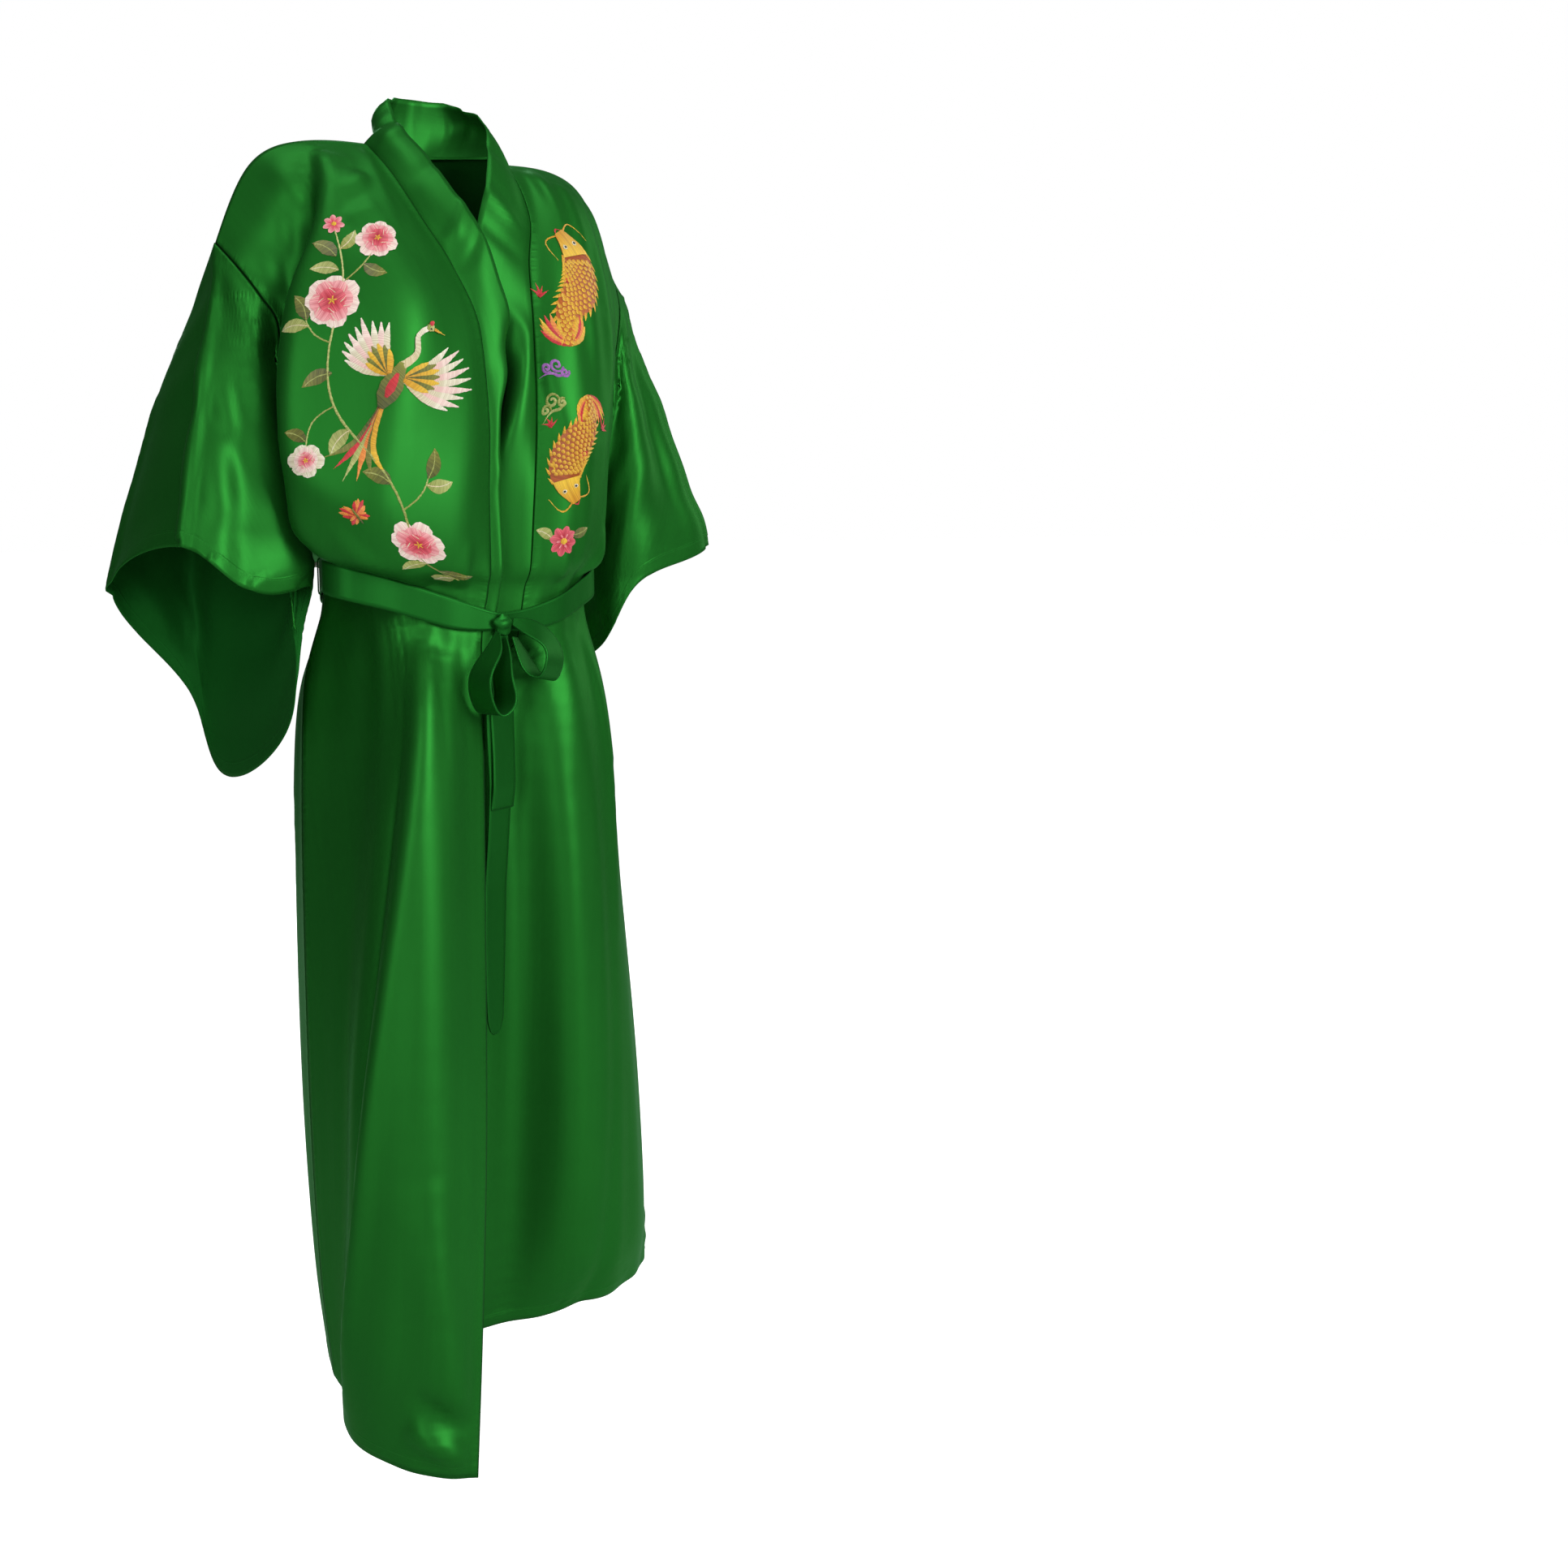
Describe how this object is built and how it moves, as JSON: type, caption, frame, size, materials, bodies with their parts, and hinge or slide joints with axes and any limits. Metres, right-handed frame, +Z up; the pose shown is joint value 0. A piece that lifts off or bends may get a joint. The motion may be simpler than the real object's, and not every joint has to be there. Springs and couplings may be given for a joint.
{
  "type": "long kimono robe",
  "caption": "Long satin kimono robe with wide sleeves, a turned collar band and a narrow belt tied in a bow, in its worn form.",
  "frame": {"origin": "between the shoulders at the height of the neck points, where a wearer or stand holds the garment up", "axes": "+X to the wearer's left, the front faces -Y, +Z up along the garment's height"},
  "size_m": [0.6628, 0.4021, 1.4081],
  "materials": {
    "satin": "glossy satin",
    "belt satin": "glossy satin"
  },
  "bodies": {
    "root": {"back": "satin", "front_right": "satin", "front_left": "satin", "sleeve_right": "satin", "sleeve_left": "satin", "collar_band": "satin", "belt_band": "belt satin", "belt_bow_right": "belt satin", "belt_bow_left": "belt satin", "belt_tail_short": "belt satin", "belt_tail_long": "belt satin", "belt_knot": "belt satin", "belt_loop_right": "belt satin", "belt_loop_left": "belt satin"}
  },
  "joints": []
}
